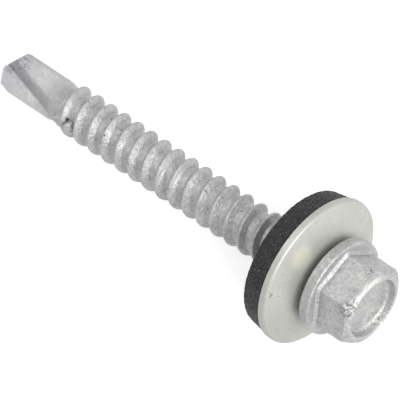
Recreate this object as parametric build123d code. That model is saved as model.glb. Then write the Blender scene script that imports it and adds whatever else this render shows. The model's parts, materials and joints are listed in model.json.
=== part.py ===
from build123d import *
from math import acos, cos, pi, radians, sin, sqrt, tan
import os

# Self drilling roofing screw, size 5.5 x 45, with its 16 mm bonded sealing washer.
# Every part is drawn about the screw's own axis: z = 0 is the flat underside of the
# flange, +z runs to the top of the head and -z to the drill point. At the end the
# whole screw is laid on the floor, resting on the washer's rim and its first thread.

# Thread
length_under_head = 45.2
thread_crest_d = 5.3
thread_depth = 0.6
thread_pitch = 1.87
thread_crest_width = 0.32
thread_crest_rise = 0.07
thread_sink = 0.08
crest_below_flange = 10.75
thread_lead_in = 1.2
thread_lead_out = 1.4
flank_angle = 32.0
neck_step = 0.1
neck_length = 6.4
neck_fillet = 0.3

# Head
across_flats = 7.9
hex_corner_r = 0.35
hex_turn = -12.3
head_height = 5.15
head_slope = 27.0
head_edge_r = 0.7
lip_width = 0.75
recess_depth = 0.9
recess_taper = 0.25
recess_floor_r = 0.45
recess_edge_r = 0.15
flange_overhang = 0.64
flange_thickness = 1.18
flange_edge_r = 0.18
hex_foot = 0.28

# Drill point
drill_step = 0.2
drill_length = 8.6
drill_cone = 0.9
point_angle = 115.0
corner_bevel = 0.24
lip_relief = 30.0
flute_slant = 14.0
flute_overrun = 1.2
flute_runout_r = 12.0
crease_r = 0.35
web_half = 0.33
crease_offset = -0.2
rake_lean = 8.0
heel_height = 0.85
heel_reach = 0.95
heel_r = 0.7

# Bonded washer
washer_d = 16.0
plate_thickness = 0.7
plate_bore_gap = 0.2
plate_slope = 17.5
plate_rim_r = 0.3
plate_drop = 0.37
rubber_bore_gap = 0.05
rubber_rim_inset = 0.12
rubber_rim_height = 2.5
rubber_taper = 0.41
rubber_land_width = 2.0
rubber_edge_r = 0.15

# Turn about its axis at which the screw settles: on the washer's rim and the first
# thread, with a corner of the point just off the floor
rest_turn = -1.0

# Sizes that follow
crest_r = thread_crest_d / 2
root_r = crest_r - thread_depth
neck_r = root_r + neck_step
drill_r = root_r + drill_step
washer_r = washer_d / 2
hex_corner_reach = across_flats / 2 / cos(pi / 6)
flange_r = hex_corner_reach + flange_overhang
bore_r = neck_r + rubber_bore_gap
plate_bore_r = crest_r + plate_bore_gap
tip_z = -length_under_head
thread_start = tip_z + drill_length
thread_end = -neck_length
dome = tan(radians(plate_slope))
seal_z = -plate_drop - (washer_r - plate_bore_r) * dome - plate_thickness - rubber_rim_height
land_inner_r = washer_r - rubber_rim_inset - rubber_taper - rubber_land_width
upright = (Align.CENTER, Align.CENTER, Align.MIN)


def spun(*points):
    """Solid turned about the axis from a closed outline of radius and height points."""
    return revolve(Plane.XZ * make_face(Polyline(*points, close=True)), Axis.Z)


# The screw

def shank():
    """Core rod: plain neck, thread root, and the slightly thicker drill point."""
    corner_z = tip_z + (drill_r - corner_bevel) / tan(radians(point_angle / 2))
    return spun(
        (0, tip_z),
        (drill_r - corner_bevel, tip_z),
        (drill_r - corner_bevel, corner_z),
        (drill_r, corner_z + 3 * corner_bevel),
        (drill_r, thread_start - drill_cone),
        (root_r, thread_start),
        (root_r, thread_end - neck_step),
        (neck_r, thread_end),
        (neck_r, -neck_fillet),
        (neck_r + neck_fillet, 0),
        (neck_r + neck_fillet, flange_thickness / 2),
        (0, flange_thickness / 2),
    )


def flute_cutter():
    """One flute of the drill point: a slanted groove that curves out of the rod.

    In its section the crease lies at the origin. The rake face runs one way from it,
    and the heel climbs the other way to a flat.
    """
    rise = drill_r - web_half - heel_height
    runout = sqrt(2 * flute_runout_r * rise - rise * rise)
    lead = drill_r / 3
    length = lead + drill_length + flute_overrun - runout
    slant = Vector(0, tan(radians(flute_slant)), 1).normalized()
    start = Vector(web_half, crease_offset, tip_z) - slant * lead
    plane = Plane(origin=start, x_dir=(1, 0, 0), z_dir=slant)
    reach = 2 * drill_r
    open_side = 0.8 * flute_runout_r
    rake = (reach * sin(radians(rake_lean)), reach * cos(radians(rake_lean)))
    heel = (heel_height, -heel_reach)
    heel_end = (heel_height, -heel_reach - reach)
    with BuildSketch(plane) as section:
        with BuildLine():
            Polyline((0, 0), rake, (open_side, rake[1]), (open_side, heel_end[1]), heel_end, heel, (0, 0))
        make_face()
        fillet(section.vertices().sort_by_distance(heel)[0], heel_r)
        fillet(section.vertices().sort_by_distance((0, 0))[0], crease_r)
    straight = extrude(section.sketch, length)
    swing = Axis(start + slant * length + Vector(flute_runout_r, 0, 0), plane.y_dir)
    curved = revolve(Pos(slant * length) * section.sketch, swing, 40)
    return straight + curved


def lip_cutter():
    """Half space ahead of one cutting lip, leaning back behind the lip for relief."""
    half_angle = radians(point_angle / 2)
    relief = radians(lip_relief)
    along_lip = Vector(0, sin(half_angle), cos(half_angle))
    behind_lip = Vector(-cos(relief), 0, sin(relief))
    face = Plane(origin=(web_half, 0, tip_z), x_dir=along_lip, z_dir=behind_lip.cross(along_lip))
    size = 8 * drill_r
    return face * Box(size, size, size, align=upright)


def drill_rod():
    """Shank with two flutes and two cutting lips, each pair half a turn apart."""
    flute = flute_cutter()
    lip = lip_cutter()
    half_turn = Rot(0, 0, 180)
    return shank() - flute - half_turn * flute - lip - half_turn * lip


def thread_profile():
    """Rolled ridge: two straight flanks joined by a rounded crest."""
    flank = tan(radians(flank_angle))
    half = thread_crest_width / 2
    foot = half + (thread_depth + thread_sink) * flank
    edge_r = crest_r - thread_crest_rise
    with BuildSketch(Plane.XZ) as profile:
        with BuildLine():
            Polyline((root_r - thread_sink, -foot), (edge_r, -half))
            ThreePointArc((edge_r, -half), (crest_r, 0), (edge_r, half))
            Polyline((edge_r, half), (root_r - thread_sink, foot), (root_r - thread_sink, -foot))
        make_face()
    return profile.sketch


def thread():
    """Right-hand ridge that rises out of the rod at the point and dies away at the neck."""
    below = int((-crest_below_flange - thread_start) / thread_pitch) + 1
    above = int((thread_end + crest_below_flange) / thread_pitch) + 1
    height = (below + above) * thread_pitch
    path = Helix(pitch=thread_pitch, height=height, radius=root_r)
    ridge = sweep(thread_profile(), path=path, is_frenet=True)
    ridge = Pos(0, 0, -crest_below_flange - below * thread_pitch) * ridge
    inner = root_r - thread_depth / 2
    outer = crest_r + thread_depth / 2
    limits = spun(
        (0, thread_start),
        (inner, thread_start),
        (outer, thread_start + thread_lead_in),
        (outer, thread_end - neck_step - thread_lead_out),
        (inner, thread_end - neck_step),
        (0, thread_end - neck_step),
    )
    return ridge & limits


def hexagon():
    with BuildSketch() as outline:
        RegularPolygon(across_flats / 2, 6, major_radius=False, rotation=hex_turn + 30)
        fillet(outline.vertices(), hex_corner_r)
    return outline.sketch


def head():
    """Hexagon on its flange, the top edge rounded down to the corners, and a recess."""
    flange = Cylinder(flange_r, flange_thickness, align=upright)
    flange = fillet(flange.edges().filter_by(GeomType.CIRCLE), flange_edge_r)
    foot = loft([
        Pos(0, 0, flange_thickness - 0.01) * offset(hexagon(), hex_foot),
        Pos(0, 0, flange_thickness + hex_foot) * hexagon(),
    ])
    ridge_r = across_flats / 2 - lip_width + recess_edge_r
    drop = (hex_corner_reach - ridge_r) * tan(radians(head_slope))
    shoulder = (hex_corner_reach, head_height - drop)
    ridge = (ridge_r, head_height)
    with BuildSketch(Plane.XZ) as outline:
        with BuildLine():
            Polyline((0, 0), (hex_corner_reach, 0), shoulder, ridge, (0, head_height), (0, 0))
        make_face()
        fillet(outline.vertices().sort_by_distance(shoulder)[0], head_edge_r)
    turned = revolve(outline.sketch, Axis.Z)
    return flange + foot + (extrude(hexagon(), head_height) & turned) - recess()


def recess():
    """Shallow round indent, rounded at the edge of its floor and at its mouth."""
    mouth_r = across_flats / 2 - lip_width
    floor_z = head_height - recess_depth
    wall = Vector(recess_taper, 1).normalized()
    corner = tan(acos(wall.X) / 2)
    floor_corner = Vector(mouth_r - recess_depth * recess_taper, floor_z)
    floor_end = floor_corner - Vector(recess_floor_r * corner, 0)
    wall_start = floor_corner + wall * recess_floor_r * corner
    wall_end = Vector(mouth_r, head_height) - wall * recess_edge_r * corner
    mouth_end = Vector(mouth_r + recess_edge_r * corner, head_height)
    clear_z = head_height + lip_width
    with BuildSketch(Plane.XZ) as outline:
        with BuildLine():
            Line((0, floor_z), floor_end)
            TangentArc(floor_end, wall_start, tangent=(1, 0))
            Line(wall_start, wall_end)
            TangentArc(wall_end, mouth_end, tangent=wall)
            Polyline(mouth_end, (mouth_end.X, clear_z), (0, clear_z), (0, floor_z))
        make_face()
    return revolve(outline.sketch, Axis.Z)


def screw():
    return drill_rod() + thread() + head()


# The bonded washer

def plate_top(r):
    """Height of the domed plate's upper face at radius r."""
    return -plate_drop - (r - plate_bore_r) * dome


def plate_under(r):
    return plate_top(r) - plate_thickness


def washer_plate():
    """Domed steel ring with a plain bore and its upper rim rounded over."""
    rim = (washer_r, plate_top(washer_r))
    with BuildSketch(Plane.XZ) as profile:
        with BuildLine():
            Polyline(
                (plate_bore_r, plate_top(plate_bore_r)),
                rim,
                (washer_r, plate_under(washer_r)),
                (plate_bore_r, plate_under(plate_bore_r)),
                (plate_bore_r, plate_top(plate_bore_r)),
            )
        make_face()
        fillet(profile.vertices().sort_by_distance(rim)[0], plate_rim_r)
    return revolve(profile.sketch, Axis.Z)


def rubber_seal():
    """Rubber ring bonded under the plate: a flat sealing land round a shallow hollow.

    Its bore hugs the screw's neck, which is what keeps the washer on the screw.
    """
    rim_r = washer_r - rubber_rim_inset
    back_r = rim_r - rubber_taper
    return spun(
        (bore_r, plate_under(bore_r)),
        (rim_r, plate_under(rim_r)),
        (back_r, seal_z + rubber_edge_r),
        (back_r - rubber_edge_r, seal_z),
        (land_inner_r, seal_z),
        (bore_r, seal_z + (land_inner_r - bore_r) * dome),
    )


# Lying on the floor

def tilted(tilt):
    """Placement with the axis along +X, the head end raised and a flute facing down."""
    lean = radians(tilt)
    lying = Plane(origin=(0, 0, 0), x_dir=(-sin(lean), 0, cos(lean)), z_dir=(cos(lean), 0, sin(lean)))
    return lying.location * Rot(0, 0, -rest_turn)


def touch_points(part):
    """Points of a part's surface, seen square to its axis with the floor side to -x."""
    turned = Rot(0, 0, -rest_turn) * part
    return [(point.X, point.Z) for point in turned.tessellate(0.01)[0]]


def lowest(points, tilt):
    """Height of the lowest of these points once the head end is raised."""
    lean = radians(tilt)
    return min(x * cos(lean) + z * sin(lean) for x, z in points)


def resting_tilt(rod, rim):
    """Angle of the axis at which the washer's rim and the threaded end are level."""
    low, high = 0.0, 30.0
    for _ in range(20):
        tilt = (low + high) / 2
        if lowest(rod, tilt) > lowest(rim, tilt):
            low = tilt
        else:
            high = tilt
    return (low + high) / 2


def resting_place(parts):
    """Placement that lays the parts on the floor, centred over the origin."""
    rod = touch_points(parts["screw"])
    tilt = resting_tilt(rod, touch_points(parts["washer_plate"]))
    place = tilted(tilt)
    box = Compound(children=[place * part for part in parts.values()]).bounding_box()
    centre = (-(box.min.X + box.max.X) / 2, -(box.min.Y + box.max.Y) / 2, -lowest(rod, tilt))
    return Pos(*centre) * place


def all_parts():
    return {"screw": screw(), "washer_plate": washer_plate(), "rubber_seal": rubber_seal()}


if __name__ == "__main__":
    parts = all_parts()
    place = resting_place(parts)
    os.makedirs("parts", exist_ok=True)
    for name, part in parts.items():
        export_step(place * part, f"parts/{name}.step")
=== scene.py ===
import bmesh
import bpy
import json
import math
from mathutils import Matrix, Vector


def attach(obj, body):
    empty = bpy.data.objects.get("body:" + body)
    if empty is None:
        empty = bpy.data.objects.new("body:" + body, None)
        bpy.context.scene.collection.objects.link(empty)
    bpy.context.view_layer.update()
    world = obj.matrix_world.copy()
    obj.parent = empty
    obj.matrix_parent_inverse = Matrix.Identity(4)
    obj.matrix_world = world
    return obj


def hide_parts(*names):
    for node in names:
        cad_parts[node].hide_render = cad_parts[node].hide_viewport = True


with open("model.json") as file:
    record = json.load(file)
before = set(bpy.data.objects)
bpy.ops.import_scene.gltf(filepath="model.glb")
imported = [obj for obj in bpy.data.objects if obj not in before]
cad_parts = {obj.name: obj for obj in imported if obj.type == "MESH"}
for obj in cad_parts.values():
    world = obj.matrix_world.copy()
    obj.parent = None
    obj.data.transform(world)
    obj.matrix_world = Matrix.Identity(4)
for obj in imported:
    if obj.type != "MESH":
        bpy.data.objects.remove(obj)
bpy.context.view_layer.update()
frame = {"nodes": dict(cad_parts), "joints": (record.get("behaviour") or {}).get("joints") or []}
print("frame loaded:", sorted(frame["nodes"]))

# The screw's own axes: places below are in millimetres along and about its axis, with 0 on
# the underside of the flange and plus towards the head
mm = 0.001
restTurn = -1.0  # degrees the screw is turned about its axis as it lies
washerSpin = next(joint for joint in frame["joints"] if joint["name"] == "washer_spin")
seat = Vector(washerSpin["pos_m"])
axisDir = Vector(washerSpin["axis"]).normalized()
level = Vector((0, 0, 1)).cross(axisDir).normalized()
topDir = axisDir.cross(level)
facing = topDir * math.cos(math.radians(restTurn)) + level * math.sin(math.radians(restTurn))
across = axisDir.cross(facing)
screwAxes = Matrix((facing, across, axisDir)).transposed()
screwPlace = Matrix.Translation(seat) @ screwAxes.to_4x4() @ Matrix.Scale(mm, 4)


def toLinear(hexColour):
    # sRGB hex to linear RGBA
    values = [int(hexColour[i:i + 2], 16) / 255 for i in (1, 3, 5)]
    return [v / 12.92 if v <= 0.04045 else ((v + 0.055) / 1.055) ** 2.4 for v in values] + [1.0]


def addNode(tree, kind, settings):
    # one node: a setting is an attribute or an input, and an input given a socket is linked
    node = tree.nodes.new("ShaderNode" + kind)
    for name, value in settings.items():
        if isinstance(name, str) and hasattr(node, name):
            setattr(node, name, value)
        elif isinstance(value, bpy.types.NodeSocket):
            tree.links.new(value, node.inputs[name])
        else:
            node.inputs[name].default_value = value
    return node


def newMaterial(name):
    # an empty material, and the piece's place in the screw's own millimetres
    material = bpy.data.materials.new(name)
    material.use_nodes = True
    tree = material.node_tree
    tree.nodes.clear()
    own = addNode(tree, "Mapping", {
        "vector_type": "TEXTURE",
        "Vector": addNode(tree, "TexCoord", {}).outputs["Object"],
        "Location": seat,
        "Rotation": screwAxes.to_euler(),
        "Scale": (mm, mm, mm),
    })
    return material, tree, own.outputs[0]


def grainMask(tree, place, size, low, high, detail, roughness=0.55):
    # noise of a real size in mm, cut to 0-1 between two of its values
    noise = addNode(tree, "TexNoise", {
        "Vector": place, "Scale": 1 / size, "Detail": detail, "Roughness": roughness})
    cut = addNode(tree, "MapRange", {
        "Value": noise.outputs[0], "From Min": low, "From Max": high})
    return cut.outputs[0]


def spotMask(tree, place, centre, reach, core=0.35):
    # 1 in the core of a spot of the screw, fading to 0 at its reach in mm
    away = addNode(tree, "VectorMath", {"operation": "DISTANCE", 0: place, 1: centre})
    faded = addNode(tree, "MapRange", {
        "interpolation_type": "SMOOTHSTEP",
        "Value": away.outputs["Value"], "From Min": reach, "From Max": reach * core})
    return faded.outputs[0]


def layColours(tree, base, layers):
    # each layer is a colour, its strength and the masks that place it, laid in this order
    colour = toLinear(base)
    for shade, strength, *masks in layers:
        for mask in masks:
            strength = addNode(tree, "Math", {
                "operation": "MULTIPLY", 0: strength, 1: mask}).outputs[0]
        colour = addNode(tree, "Mix", {
            "data_type": "RGBA", 0: strength, 6: colour, 7: toLinear(shade)}).outputs[2]
    return colour


def finishMaterial(tree, look, colour, uneven, relief):
    # the look's own gloss and relief, rougher where its surface is uneven
    low, rise = look["roughness"]
    rough = addNode(tree, "Math", {"operation": "MULTIPLY_ADD", 0: uneven, 1: rise, 2: low})
    strength, depth = look["relief"]
    bump = addNode(tree, "Bump", {
        "Strength": strength, "Distance": depth * mm, "Height": relief})
    shader = addNode(tree, "BsdfPrincipled", {
        **look["shader"],
        "Base Color": colour, "Roughness": rough.outputs[0], "Normal": bump.outputs[0]})
    addNode(tree, "OutputMaterial", {"Surface": shader.outputs[0]})


# Floor and light
floorLook = {
    "colour": "#C8C8C8",
    "lift": 0.68,  # added for what is seen only, which brings the floor to white
    "size": 3.0,
}
worldLight = {
    "colour": "#FFFFFF",
    "strength": 0.44,  # what lights the screw
    "seen": 1.0,  # what the camera, a reflection or a clear body sees
}
lampLooks = {  # softboxes: side in m, distance in m, power in W, direction from the screw
    "key_softbox": (0.34, 0.5, 2.8, (0.72, 0.06, 0.66)),
    "fill_softbox": (0.3, 0.5, 0.62, (-0.60, 0.15, 0.76)),
}


def seenRays(tree):
    # 1 for what the camera, a reflection or a clear body sees, 0 for the light on the screw
    rays = addNode(tree, "LightPath", {}).outputs
    seen = rays["Is Camera Ray"]
    for ray in ("Is Glossy Ray", "Is Transmission Ray"):
        seen = addNode(tree, "Math", {"operation": "MAXIMUM", 0: seen, 1: rays[ray]}).outputs[0]
    return seen


bpy.ops.object.select_all(action="DESELECT")
bpy.ops.mesh.primitive_plane_add(size=floorLook["size"], location=(0, 0, 0))
floor = bpy.context.object
floor.name = "floor"
floorMaterial = bpy.data.materials.new("matt_white_board")
floorMaterial.use_nodes = True
tree = floorMaterial.node_tree
tree.nodes.clear()
board = addNode(tree, "BsdfDiffuse", {"Color": toLinear(floorLook["colour"])})
lift = addNode(tree, "Math", {"operation": "MULTIPLY", 0: seenRays(tree), 1: floorLook["lift"]})
glow = addNode(tree, "Emission", {"Color": toLinear("#FFFFFF"), "Strength": lift.outputs[0]})
both = addNode(tree, "AddShader", {0: board.outputs[0], 1: glow.outputs[0]})
addNode(tree, "OutputMaterial", {"Surface": both.outputs[0]})
floor.data.materials.append(floorMaterial)

world = bpy.context.scene.world or bpy.data.worlds.new("studio")
bpy.context.scene.world = world
world.use_nodes = True
tree = world.node_tree
tree.nodes.clear()
strength = addNode(tree, "Math", {
    "operation": "MULTIPLY_ADD", 0: seenRays(tree),
    1: worldLight["seen"] - worldLight["strength"], 2: worldLight["strength"]})
sky = addNode(tree, "Background", {
    "Color": toLinear(worldLight["colour"]), "Strength": strength.outputs[0]})
addNode(tree, "OutputWorld", {"Surface": sky.outputs[0]})

# Camera: place in m, rotation in degrees, lens and sensor in mm
cameraLook = {
    "location": (0.165446, -0.007826, 0.455061),
    "rotation": (12.2329, 15.928, 35.7584),
    "lens": 435.186,
    "sensor": 36,
    "nearest": 0.01,
}
bpy.ops.object.camera_add(location=cameraLook["location"],
                          rotation=[math.radians(angle) for angle in cameraLook["rotation"]])
camera = bpy.context.object
camera.data.lens = cameraLook["lens"]
camera.data.sensor_width = cameraLook["sensor"]
camera.data.clip_start = cameraLook["nearest"]
bpy.context.scene.camera = camera
bpy.context.view_layer.update()

lampTarget = Vector((0, 0, 5 * mm))
for name, (size, distance, power, direction) in lampLooks.items():
    direction = Vector(direction)
    place = lampTarget + direction.normalized() * distance
    bpy.ops.object.light_add(type="AREA", location=place)
    lamp = bpy.context.object
    lamp.name = name
    lamp.data.shape = "SQUARE"
    lamp.data.size = size
    lamp.data.energy = power
    lamp.rotation_euler = direction.to_track_quat("Z", "Y").to_euler()
    lamp.visible_camera = False
bpy.context.scene.view_settings.view_transform = "Standard"
print("floor, lamps and camera placed")

# Zinc-coated steel of the screw. Each noise has its size in mm, the two values that its
# mask runs between and its detail; roughness is its low value and its rise; relief is its
# strength and its depth in mm
zinc = {
    "coat": "#ADADAC",
    "drill": "#97979B",
    "dull": "#7E7F81",
    "bright": "#D6D6D4",
    "wornAndHighlight": "#DEDEDA",
    "grimeAndShade": "#5E5E5C",
    "pit": "#303036",
    "shader": {"Metallic": 0.6},  # zinc dust reads as part paint, part metal
    "roughness": (0.42, 0.16),
    "relief": (0.8, 0.035),
    "grainRelief": 0.55,
    "cloud": (1.6, 0.36, 0.64, 3),  # uneven coat, patches over a millimetre
    "mottle": (0.42, 0.38, 0.62, 3),  # lumps of fused powder
    "grain": (0.17, 0.4, 0.62, 2),  # single grains, drawn coarse enough to show
    "pits": (0.34, 0.71, 0.77, 1),
    "dirt": (0.28, 0.46, 0.58, 3),
    "shank": (-35.2, -34.2),  # heights where the powdery skin begins above the drill point
    "smoothShare": 0.4,  # what the drill point keeps of it
    "fewerPits": 0.2,
    "flute": (-38.5, -43.5),  # the coat is thinner and darker towards the tip
    "headSlope": 0.5095,  # fall of the cone that rounds the head's top
    "rim": (6.717, 6.817),  # heights of that cone carried to the axis, under and at the rim
    "rimReach": (3.86, 3.6),
    "top": (1.6, 2.6),  # the side of the rim given a painted highlight, along x and y
    "near": (1.9, 1.2),
    "otherSides": 0.25,
    "sparkle": (0.6, 0.25),
    "tears": [((1.8, 1.25, -34.38), 0.28), ((1.75, 0.75, -34.9), 0.18)],
    # painted highlight on the up-facing lower wall of the head's recess
    "recessHighlights": [((-2.5, 0.9, 4.4), 1.9)],
    "dirtAndShadeSpots": [  # grey dirt, and one painted dark reflection: its middle, its reach and its strength
        ((1.2, -1.0, -42.9), 1.3, 0.55),
        ((0.6, 0.2, -44.2), 0.8, 0.55),
        ((3.5, 1.45, 4.9), 1.5, 0.85),
        ((3.25, -2.95, 4.4), 0.9, 0.6),
        # painted dark reflection near the mouth of the head's recess
        ((-2.4, 0.6, 4.6), 1.2, 0.7),
    ],
}


def zincMaterial():
    # Mechanically zinc-plated carbon steel: fused zinc powder, matt light grey with a
    # speckled, slightly lumpy skin and small dark pits
    material, tree, place = newMaterial("zinc_plated_steel")
    cloud, mottle, grain, pits, dirt = [
        grainMask(tree, place, *zinc[name])
        for name in ("cloud", "mottle", "grain", "pits", "dirt")]
    x, y, height = addNode(tree, "SeparateXYZ", {0: place}).outputs
    flat = addNode(tree, "VectorMath", {"operation": "MULTIPLY", 0: place, 1: (1, 1, 0)})
    radius = addNode(tree, "VectorMath", {
        "operation": "LENGTH", 0: flat.outputs[0]}).outputs["Value"]
    cone = addNode(tree, "Math", {
        "operation": "MULTIPLY_ADD", 0: radius, 1: zinc["headSlope"], 2: height}).outputs[0]
    shank, flute, rim, rimReach, top, near = [
        addNode(tree, "MapRange", {
            "interpolation_type": "SMOOTHSTEP",
            "Value": value, "From Min": zinc[name][0], "From Max": zinc[name][1]}).outputs[0]
        for name, value in (("shank", height), ("flute", height), ("rim", cone),
                            ("rimReach", radius), ("top", x), ("near", y))]

    # the drill point keeps a share of the lumps and grains and fewer of the pits
    skin = addNode(tree, "Math", {
        "operation": "MULTIPLY_ADD",
        0: shank, 1: 1 - zinc["smoothShare"], 2: zinc["smoothShare"]}).outputs[0]
    pitShare = addNode(tree, "Math", {
        "operation": "SUBTRACT", 0: skin, 1: zinc["fewerPits"]}).outputs[0]
    mottle, grain, holes = [
        addNode(tree, "Math", {"operation": "MULTIPLY", 0: mask, 1: share}).outputs[0]
        for mask, share in ((mottle, skin), (grain, skin), (pits, pitShare))]
    for spot in zinc["tears"]:
        tear = spotMask(tree, place, *spot)
        holes = addNode(tree, "Math", {"operation": "MAXIMUM", 0: holes, 1: tear}).outputs[0]

    # painted highlight on one side of the head's rim, speckled like worn zinc; the rim's other
    # sides are made darker, speckled
    highlightSide = addNode(tree, "Math", {"operation": "MULTIPLY", 0: top, 1: near}).outputs[0]
    highlightSide = addNode(tree, "Math", {
        "operation": "MULTIPLY_ADD",
        0: highlightSide, 1: 1 - zinc["otherSides"], 2: zinc["otherSides"]}).outputs[0]
    darkerSides = addNode(tree, "Math", {"operation": "SUBTRACT", 0: 1.0, 1: highlightSide}).outputs[0]
    gain, least = zinc["sparkle"]
    sparkle = addNode(tree, "Math", {
        "operation": "MULTIPLY_ADD", 0: grain, 1: gain, 2: least}).outputs[0]

    colour = layColours(tree, zinc["coat"], [
        (zinc["dull"], 0.35, cloud),
        (zinc["drill"], 1.0, flute),
        (zinc["dull"], 0.3, mottle),
        (zinc["bright"], 0.27, grain),
        # painted highlight on one side of the head's rim, speckled like worn zinc
        (zinc["wornAndHighlight"], 1.0, rim, rimReach, highlightSide, sparkle),
        # painted highlight on the lower wall of the head's recess
        *[(zinc["wornAndHighlight"], 0.3, spotMask(tree, place, *spot)) for spot in zinc["recessHighlights"]],
        # the rim's other sides made darker, speckled
        (zinc["grimeAndShade"], 0.4, rim, darkerSides, dirt),
        # grey dirt spots, and one painted dark reflection in the recess
        *[(zinc["grimeAndShade"], strength, spotMask(tree, place, *spot), dirt)
          for *spot, strength in zinc["dirtAndShadeSpots"]],
        (zinc["pit"], 1.0, holes),
    ])
    lumps = addNode(tree, "Math", {
        "operation": "MULTIPLY_ADD", 0: grain, 1: zinc["grainRelief"], 2: mottle}).outputs[0]
    relief = addNode(tree, "Math", {"operation": "SUBTRACT", 0: lumps, 1: holes}).outputs[0]
    finishMaterial(tree, zinc, colour, mottle, relief)
    return material


# Coated sheet steel of the washer's plate
plate = {
    "coat": "#B7B7B2",
    "shade": "#A5A5A0",
    "paintedSheen": "#DCDAC2",
    "pit": "#5E5E58",
    "shader": {"Metallic": 0.55},
    "roughness": (0.48, 0.08),
    "relief": (0.3, 0.03),
    "grainRelief": 0.5,
    "cloud": (2.2, 0.35, 0.65, 3),
    "grain": (0.22, 0.38, 0.62, 3, 0.65),
    "pits": (0.6, 0.73, 0.8, 1),
    "scratches": (0.25, 0.35, 0.55, 2),  # what a knock leaves
    "rays": (9.0, 0.4, 0.62, 3),  # how many to a radian, in place of a size
    "knocks": [((6.0, 4.41, -1.82), 0.34), ((6.3, 4.25, -1.82), 0.22)],
    # painted highlight: a warm glow on the plate beside the flange
    "paintedSheenSpot": ((5.9, -0.3, -1.36), 1.7),
    "paintedShadeSide": ((0.4, 7.8, -2.3), 6.0),  # painted shade, darker towards this side
}


def plateMaterial():
    # Zinc-aluminium coated sheet, pressed: pale satin grey, nearly even, with fine rays
    # from the press tool, a painted warm highlight, painted shade on one side and a few knocks
    material, tree, place = newMaterial("coated_sheet_steel")
    cloud, grain, holes, scratches = [
        grainMask(tree, place, *plate[name]) for name in ("cloud", "grain", "pits", "scratches")]
    apart = addNode(tree, "SeparateXYZ", {0: place}).outputs
    turn = addNode(tree, "Math", {
        "operation": "ARCTAN2", 0: apart["Y"], 1: apart["X"]}).outputs[0]
    rate, low, high, detail = plate["rays"]
    lines = addNode(tree, "TexNoise", {
        "noise_dimensions": "1D", "W": turn, "Scale": rate, "Detail": detail})
    rays = addNode(tree, "MapRange", {
        "interpolation_type": "SMOOTHSTEP",
        "Value": lines.outputs[0], "From Min": low, "From Max": high}).outputs[0]
    for spot in plate["knocks"]:
        knock = addNode(tree, "Math", {
            "operation": "MULTIPLY", 0: spotMask(tree, place, *spot), 1: scratches}).outputs[0]
        holes = addNode(tree, "Math", {"operation": "MAXIMUM", 0: holes, 1: knock}).outputs[0]
    colour = layColours(tree, plate["coat"], [
        (plate["shade"], 0.5, cloud),
        (plate["shade"], 0.35, grain),
        (plate["shade"], 0.2, rays),
        # painted shade on one side of the plate
        (plate["shade"], 1.0, spotMask(tree, place, *plate["paintedShadeSide"])),
        # painted highlight beside the flange
        (plate["paintedSheen"], 0.32, spotMask(tree, place, *plate["paintedSheenSpot"])),
        (plate["pit"], 0.7, holes),
    ])
    lumps = addNode(tree, "Math", {
        "operation": "MULTIPLY", 0: grain, 1: plate["grainRelief"]}).outputs[0]
    relief = addNode(tree, "Math", {"operation": "SUBTRACT", 0: lumps, 1: holes}).outputs[0]
    finishMaterial(tree, plate, colour, grain, relief)
    return material


# Rubber of the sealing ring
rubber = {
    "base": "#303031",
    "deep": "#121213",
    "dust": "#A6A6A2",
    "shader": {"Specular IOR Level": 0.3},  # dusty skin, so less shine than clean rubber
    "roughness": (0.52, 0.2),
    "relief": (0.8, 0.06),
    "patches": (0.8, 0.38, 0.62, 3),
    "grain": (0.24, 0.38, 0.62, 3, 0.7),
    "specks": (0.14, 0.6, 0.72, 2, 0.7),
}


def rubberMaterial():
    # EPDM rubber, die-cut and vulcanised to the plate: matt near-black with grey specks
    material, tree, place = newMaterial("epdm_rubber")
    patches, grain, specks = [
        grainMask(tree, place, *rubber[name]) for name in ("patches", "grain", "specks")]
    colour = layColours(tree, rubber["base"], [
        (rubber["deep"], 0.6, patches),
        (rubber["deep"], 0.75, grain),
        (rubber["dust"], 0.5, specks),
    ])
    finishMaterial(tree, rubber, colour, grain, grain)
    return material


zincSteel = zincMaterial()
coatedSteel = plateMaterial()
blackRubber = rubberMaterial()
for nodeName, material in (("screw", zincSteel), ("washer_plate", coatedSteel)):
    mesh = frame["nodes"][nodeName].data
    mesh.materials.clear()
    mesh.materials.append(material)
print("materials on the carried-over nodes")

# Sealing ring: radii and heights of its section, from the plate's underside round the
# outer side, the land, the hollow and the bore
ring = {
    "outerRadius": 7.88,
    "outerTop": -2.656,
    "topEdge": 0.064,
    "backRadius": 7.47,
    "heel": 0.02,
    "landHeight": -5.19,
    "landInner": 5.47,
    "boreRadius": 2.2,
    "boreLow": -4.16,
    "boreTop": -0.87,
    "edge": 0.16,
    "slope": 0.3153,  # of the plate's dome, which the hollow follows
    "softEdge": 0.09,
    "steps": 144,
    "slack": 0.01,  # for picking the bore's vertices
    "merge": 0.001,
    "waviness": 0.1,  # cut rubber is slightly crumbly: how deep and how long the waves are
    "wave": 0.35,
}


def applyModifier(piece, name, kind, settings):
    bpy.context.view_layer.objects.active = piece
    modifier = piece.modifiers.new(name, kind)
    for setting, value in settings.items():
        setattr(modifier, setting, value)
    bpy.ops.object.modifier_apply(modifier=modifier.name)


def selectInside(mesh, reach):
    # selects the vertices of a mesh in edit mode that lie within a radius of the axis
    bm = bmesh.from_edit_mesh(mesh)
    for vertex in bm.verts:
        vertex.select = math.hypot(vertex.co.x, vertex.co.y) <= reach
    bm.select_flush_mode()
    bmesh.update_edit_mesh(mesh)


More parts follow.
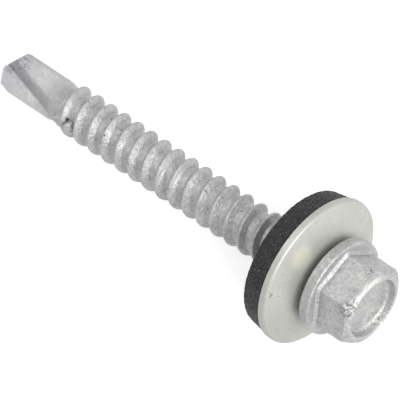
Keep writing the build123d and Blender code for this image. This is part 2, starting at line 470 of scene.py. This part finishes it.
def rubberRing():
    bpy.ops.object.select_all(action="DESELECT")
    bpy.ops.mesh.primitive_circle_add(vertices=ring["steps"], radius=ring["boreRadius"],
                                      fill_type="NOTHING", location=(0, 0, 0))
    piece = bpy.context.object
    piece.name = "sealing_ring"
    bpy.ops.object.mode_set(mode="EDIT")
    bpy.ops.mesh.select_all(action="SELECT")
    bpy.ops.transform.translate(value=(0, 0, ring["boreTop"]))
    radius, height = ring["boreRadius"], ring["boreTop"]
    edge = ring["edge"]
    rise = ring["slope"] * edge
    middle = ((ring["outerRadius"] + ring["backRadius"]) / 2,
              (ring["outerTop"] + ring["landHeight"]) / 2)
    outline = [
        (ring["outerRadius"] - edge, ring["outerTop"] + rise),
        (ring["outerRadius"], ring["outerTop"] - ring["topEdge"]),
        middle,
        (ring["backRadius"] + ring["heel"], ring["landHeight"] + edge),
        (ring["backRadius"] - edge, ring["landHeight"]),
        (ring["landInner"] + edge, ring["landHeight"]),
        (ring["landInner"] - edge, ring["landHeight"] + rise),
        (ring["boreRadius"] + edge, ring["boreLow"] - rise),
        (ring["boreRadius"], ring["boreLow"] + edge),
    ]
    for newRadius, newHeight in outline:
        drop = (0, 0, newHeight - height)
        bpy.ops.mesh.extrude_region_move(TRANSFORM_OT_translate={"value": drop})
        scale = newRadius / radius
        bpy.ops.transform.resize(value=(scale, scale, 1), center_override=(0, 0, newHeight))
        radius, height = newRadius, newHeight
    selectInside(piece.data, ring["boreRadius"] + ring["slack"])
    bpy.ops.mesh.select_mode(type="VERT")
    bpy.ops.mesh.bridge_edge_loops()
    bpy.ops.mesh.select_all(action="SELECT")
    bpy.ops.mesh.remove_doubles(threshold=ring["merge"])
    bpy.ops.mesh.normals_make_consistent(inside=False)
    bpy.ops.object.mode_set(mode="OBJECT")
    return piece


sealingRing = rubberRing()
applyModifier(sealingRing, "soft edges", "BEVEL", {
    "width": ring["softEdge"], "segments": 3,
    "limit_method": "ANGLE", "angle_limit": math.radians(20)})
applyModifier(sealingRing, "denser", "SUBSURF", {
    "subdivision_type": "SIMPLE", "levels": 2, "render_levels": 2})
crumbs = bpy.data.textures.new("cut_edge", "CLOUDS")
crumbs.noise_scale = ring["wave"]
applyModifier(sealingRing, "ragged", "DISPLACE", {
    "texture": crumbs, "strength": ring["waviness"]})
bpy.ops.object.shade_smooth_by_angle(angle=math.radians(40))
sealingRing.data.transform(screwPlace)
sealingRing.data.materials.append(blackRubber)
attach(sealingRing, "sealing_washer")
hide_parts("rubber_seal")
print("sealing ring made:", len(sealingRing.data.polygons), "faces")

# Burrs: zinc and steel squeezed up where the flute runs out at the first thread
burrs = {
    "lumps": [  # the middle, the reach along x, y and the axis, and degrees about x
        ((0.72, 1.58, -35.7), (0.72, 0.58, 1.3), -4),
        ((1.12, 1.72, -34.05), (0.98, 0.8, 0.5), 24),
    ],
    "unevenness": 0.22,
    "lumpSize": 0.5,
}


def burrLump(name, middle, reach, turn):
    bpy.ops.object.select_all(action="DESELECT")
    bpy.ops.mesh.primitive_ico_sphere_add(subdivisions=3, radius=1.0, location=(0, 0, 0))
    lump = bpy.context.object
    lump.name = name
    bpy.ops.object.mode_set(mode="EDIT")
    bpy.ops.mesh.select_all(action="SELECT")
    bpy.ops.transform.resize(value=reach, center_override=(0, 0, 0))
    bpy.ops.transform.rotate(value=math.radians(turn), orient_axis="X",
                             center_override=(0, 0, 0))
    bpy.ops.transform.translate(value=middle)
    bpy.ops.object.mode_set(mode="OBJECT")
    applyModifier(lump, "finer", "SUBSURF", {"levels": 1, "render_levels": 1})
    uneven = bpy.data.textures.new(name + "_lumps", "CLOUDS")
    uneven.noise_scale = burrs["lumpSize"]
    applyModifier(lump, "crumpled", "DISPLACE", {
        "texture": uneven, "strength": burrs["unevenness"]})
    bpy.ops.object.shade_smooth()
    return lump


lumps = [burrLump("burr_" + str(number), *shape)
         for number, shape in enumerate(burrs["lumps"], 1)]
for lump in lumps:
    lump.data.transform(screwPlace)
    lump.data.materials.append(zincSteel)
    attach(lump, "screw")
print("burrs made:", len(lumps))
